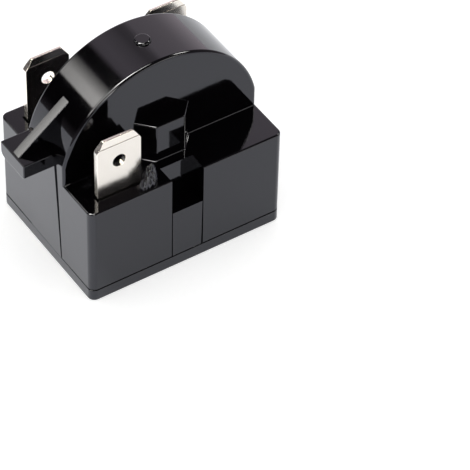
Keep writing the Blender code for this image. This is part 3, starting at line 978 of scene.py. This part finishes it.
def makeRearStrip():
    rivet = rivetPlace("rear_contact_rivet")
    footPlate = block((rearPin[0] - socket["radius"] - strip["pinEnd"], rearLow.y, stripLow),
                      (rivet[0] + strip["rivetEnd"], rearHigh.y, stripTop))
    bus = block((rearLow.x, rearBladeY, stripLow), (rearHigh.x, rearHigh.y, shelfTop - strip["busDrop"]))
    makeStrip("rear_blade_strip", "rear_terminal", [(*place, rearHigh.z) for place in rearBlades],
              [footPlate, bus], rearPin, rivet)


makeFrontStrip()
makeRearStrip()
print("blades made")


def makeSleeve(name, node, place, side):
    # a rolled sleeve with a flared mouth, open along one side
    half = math.asin(socket["slit"] / 2 / socket["radius"])
    bottom = boxOf(node)[0].z
    middle = socket["radius"] - socket["wall"] / 2
    bm = bmesh.new()
    points = [bm.verts.new((middle + socket["flare"], 0, bottom)),
              bm.verts.new((middle, 0, bottom + socket["flareHeight"])),
              bm.verts.new((middle, 0, bottom + socket["height"]))]
    line = [bm.edges.new(points[i:i + 2]) for i in range(2)]
    bmesh.ops.rotate(bm, verts=bm.verts[:], cent=(0, 0, 0), matrix=Matrix.Rotation(half, 3, "Z"))
    bmesh.ops.spin(bm, geom=bm.verts[:] + line, cent=(0, 0, 0), axis=(0, 0, 1), angle=2 * math.pi - 2 * half,
                   steps=socket["steps"], use_merge=False)
    turn = Matrix.Rotation(-side * math.pi / 2, 4, "Z")
    bm.transform(Matrix.Translation((*place, 0)) @ turn)
    bmesh.ops.remove_doubles(bm, verts=bm.verts[:], dist=weld / 2)
    bmesh.ops.recalc_face_normals(bm, faces=bm.faces[:])
    for face in bm.faces:
        face.smooth = True
    item = addPiece(name, bm, tin, node)
    wall = item.modifiers.new("wall", "SOLIDIFY")
    wall.thickness = socket["wall"] * mm
    wall.offset = 0
    rounding = item.modifiers.new("rounding", "BEVEL")
    rounding.width = socket["round"] * mm
    rounding.segments = socket["roundSteps"]
    rounding.limit_method = "ANGLE"
    rounding.angle_limit = math.radians(socket["roundTurn"])


makeSleeve("front_pin_sleeve", "front_pin_socket", frontPin, -1)
makeSleeve("rear_pin_sleeve", "rear_pin_socket", rearPin, 1)
print("pin sleeves made")

# Each blob's size, its turn in degrees, and its place from the front blade's right corner.
lump = {
    "blobs": (
        {"size": (2.5, 1.5, 3.0), "turn": 35, "aside": 0.85, "ahead": 0.75},
        {"size": (1.3, 1.0, 1.5), "turn": 20, "aside": -0.4, "ahead": 1.2},
    ),
    "fineness": 5,
    "swell": 1.08,
    "folds": 1.5,
    "depth": 0.6,
    "fineFolds": 2.3,        # the finer folds are this many times as close as the main ones,
    "fineDepth": 0.5,        # and this share as deep
    "lift": 0.02,
    "cutSides": 5,           # a face with this many sides or more is a flat cut
}


def blobShape(values):
    # the upper half of a crumpled ball, with sharp folds where the noise changes sign
    bm = bmesh.new()
    bmesh.ops.create_icosphere(bm, subdivisions=lump["fineness"], radius=1)
    place = Vector((frontLow.x + blade["width"] + values["aside"], frontLow.y - values["ahead"], shelfTop))
    turn = Matrix.Rotation(math.radians(values["turn"]), 4, "Z")
    for vert in bm.verts:
        point = vert.co * lump["folds"] + place
        folds = lump["depth"] * abs(noise.noise(point))
        fine = lump["fineDepth"] * lump["depth"] * abs(noise.noise(point * lump["fineFolds"]))
        vert.co = vert.co * (lump["swell"] - folds - fine)
    length, width, height = values["size"]
    bmesh.ops.scale(bm, verts=bm.verts[:], vec=(length / 2, width / 2, height))
    bm.transform(Matrix.Translation(place) @ turn)
    trim(bm, (0, 0, shelfTop + lump["lift"]), (0, 0, -1))
    return bm


def makeLump():
    # wrinkled resin, set on the shelf by the blade's front corner
    blobs = [blobShape(values) for values in lump["blobs"]]
    bm = carve(blobs[0], [("UNION", blob) for blob in blobs[1:]])
    outward(bm)
    for face in bm.faces:
        face.smooth = len(face.verts) < lump["cutSides"]
    addPiece("resin_lump", bm, resin, "sealant_bead")


makeLump()
print("resin made")

for node, finish in (("ptc_disc", ceramic), ("front_contact_spring", steel), ("rear_contact_spring", steel),
                     ("front_contact_rivet", brass), ("rear_contact_rivet", brass)):
    bpy.data.objects[node].data.materials.clear()
    bpy.data.objects[node].data.materials.append(finish)

floorValues = {
    "size": 3.0,
    "paint": (0.8, 0.8, 0.8),
    "roughness": 0.9,
    "shine": 0.1,
    "mirrorTint": (0.96, 0.97, 1.0),
    "cameraGlow": 0.45,      # added where the camera looks straight at the floor
    "mirrorGlow": 0.42,      # added where a reflection looks at it
    # painted pools of light on the floor, seen only in reflections, brighter towards each side: where it is
    # full, where it starts, and its strength
    "sides": ((-0.0165, -0.009, 0.4), (0.09, 0.024, 0.2)),
}


def makeFloor(values):
    bm = bmesh.new()
    bmesh.ops.create_grid(bm, x_segments=1, y_segments=1, size=values["size"])
    mesh = bpy.data.meshes.new("floor")
    bm.to_mesh(mesh)
    bm.free()
    item = bpy.data.objects.new("floor", mesh)
    bpy.context.scene.collection.objects.link(item)
    finish, nodes, links = newMaterial("floor_paint")
    shader = nodes["Principled BSDF"]
    shader.inputs["Roughness"].default_value = values["roughness"]
    shader.inputs["Specular IOR Level"].default_value = values["shine"]
    path = nodes.new("ShaderNodeLightPath")
    mirrored = inMirror(nodes, links, path)
    tinted = [paint * tint for paint, tint in zip(values["paint"], values["mirrorTint"])]
    links.new(blend(nodes, links, mirrored, values["paint"], tinted), shader.inputs["Base Color"])
    glowTint = blend(nodes, links, mirrored, (1, 1, 1), values["mirrorTint"])
    links.new(glowTint, shader.inputs["Emission Color"])
    coords = nodes.new("ShaderNodeTexCoord")
    apart = nodes.new("ShaderNodeSeparateXYZ")
    links.new(coords.outputs["Object"], apart.inputs["Vector"])
    mirrorGlow = values["mirrorGlow"]
    # each entry adds a painted pool of light to the glow that reflections see of the floor, by its place
    # across the floor
    for far, near, strength in values["sides"]:
        side = spread(nodes, links, apart.outputs["X"], strength, 0, far, near)
        mirrorGlow = sumOf(nodes, links, side, mirrorGlow)
    glow = sumOf(nodes, links, product(nodes, links, path.outputs["Is Camera Ray"], values["cameraGlow"]),
                 product(nodes, links, mirrored, mirrorGlow))
    links.new(glow, shader.inputs["Emission Strength"])
    mesh.materials.append(finish)


# The studio round the object. Angles are in degrees about the drum's axis, from straight up, with the right
# side positive. Depths are along the drum's axis, from -1 in front to 1 behind. The light behind and beside
# the object is a row of angles, each with its brightness. Each softbox fades in over its first two marks and
# out over the other two.
studio = {
    "reach": 100,            # the rows run from minus this angle to this angle
    "behind": ((-100, 0.7), (-88, 0.15), (-80, 0.01), (-20, 0.01), (-15, 0.02), (-9, 0.95), (-1, 1.02),
               (13, 0.76), (20, 0.53), (27, 0.6), (34, 1.15), (45, 1.1), (62, 1.0), (75, 1.15), (100, 1.4)),
    "beside": ((-100, 0.9), (-88, 0.4), (-70, 0.08), (15, 0.1), (45, 0.13), (80, 0.3), (100, 0.9)),
    "behindFrom": (0.50, 0.58),    # the depths between which one row takes over from the other
    "boxes": (
        {"angles": (-54, -51.5, -42.5, -27), "depths": (0.595, 0.605, 0.622, 0.7), "brightness": 8},
        {"angles": (-60, -55, -20, -10), "depths": (0.57, 0.58, 0.59, 0.6), "brightness": 20},
        {"angles": (-60, -55, 8, 15), "depths": (-0.10, -0.05, 0.04, 0.12), "brightness": 32},
        {"angles": (-26, -20, -4, 0), "depths": (0.05, 0.12, 0.26, 0.34), "brightness": 45},
        {"angles": (36, 39, 47, 53), "depths": (-0.10, -0.05, 0.04, 0.12), "brightness": 32},
        {"angles": (-60, -50, -25, -15), "depths": (-1.2, -1.1, -0.8, -0.65), "brightness": 6},
        {"angles": (46, 52, 66, 75), "depths": (-1.2, -1.1, -0.8, -0.65), "brightness": 4},
    ),
    "skyTint": (1.0, 0.89, 0.96),
    "boxTint": (1.0, 0.975, 0.87),
    "plain": 0.95,           # what matt surfaces get from all round
}


def rowLight(nodes, links, turned, row, reach):
    ramp = nodes.new("ShaderNodeValToRGB")
    brightest = max(brightness for degrees, brightness in row)
    stops = ramp.color_ramp.elements
    places = [(degrees + reach) / (2 * reach) for degrees, brightness in row]
    for place in places[1:-1]:
        stops.new(place)
    for stop, place, (degrees, brightness) in zip(stops, places, row):
        stop.position = place
        stop.color = (*[brightness / brightest] * 3, 1)
    links.new(turned, ramp.inputs["Fac"])
    return product(nodes, links, ramp.outputs["Color"], brightest)


def softbox(nodes, links, angle, depth, box):
    angles = [math.radians(mark) for mark in box["angles"]]
    shape = product(nodes, links, fade(nodes, links, angle, angles), fade(nodes, links, depth, box["depths"]))
    return product(nodes, links, shape, box["brightness"])


def makeStudio(values):
    # reflections see the rows and softboxes, the camera sees white, and matt surfaces get an even light
    world = bpy.data.worlds.new("studio")
    bpy.context.scene.world = world
    world.use_nodes = True
    nodes, links = world.node_tree.nodes, world.node_tree.links
    coords = nodes.new("ShaderNodeTexCoord")
    apart = nodes.new("ShaderNodeSeparateXYZ")
    links.new(coords.outputs["Generated"], apart.inputs["Vector"])
    depth = apart.outputs["Y"]
    angle = combine(nodes, links, "ARCTAN2", apart.outputs["X"], apart.outputs["Z"])
    reach = values["reach"]
    turned = spread(nodes, links, angle, 0, 1, -math.radians(reach), math.radians(reach))
    back = spread(nodes, links, depth, 0, 1, *values["behindFrom"])
    beside = rowLight(nodes, links, turned, values["beside"], reach)
    behind = rowLight(nodes, links, turned, values["behind"], reach)
    boxes = 0
    for box in values["boxes"]:
        boxes = sumOf(nodes, links, boxes, softbox(nodes, links, angle, depth, box))
    around = sumOf(nodes, links, blend(nodes, links, back, beside, behind, "FLOAT"), boxes)
    path = nodes.new("ShaderNodeLightPath")
    mirrored = inMirror(nodes, links, path)
    lit = blend(nodes, links, mirrored, values["plain"], around, "FLOAT")
    seen = blend(nodes, links, path.outputs["Is Camera Ray"], lit, 1, "FLOAT")
    tint = blend(nodes, links, spread(nodes, links, boxes, 0, 1), values["skyTint"], values["boxTint"])
    background = nodes["Background"]
    links.new(blend(nodes, links, mirrored, (1, 1, 1), tint), background.inputs["Color"])
    links.new(seen, background.inputs["Strength"])


makeFloor(floorValues)
makeStudio(studio)
bpy.context.scene.view_settings.view_transform = "Standard"
print("floor and light made")
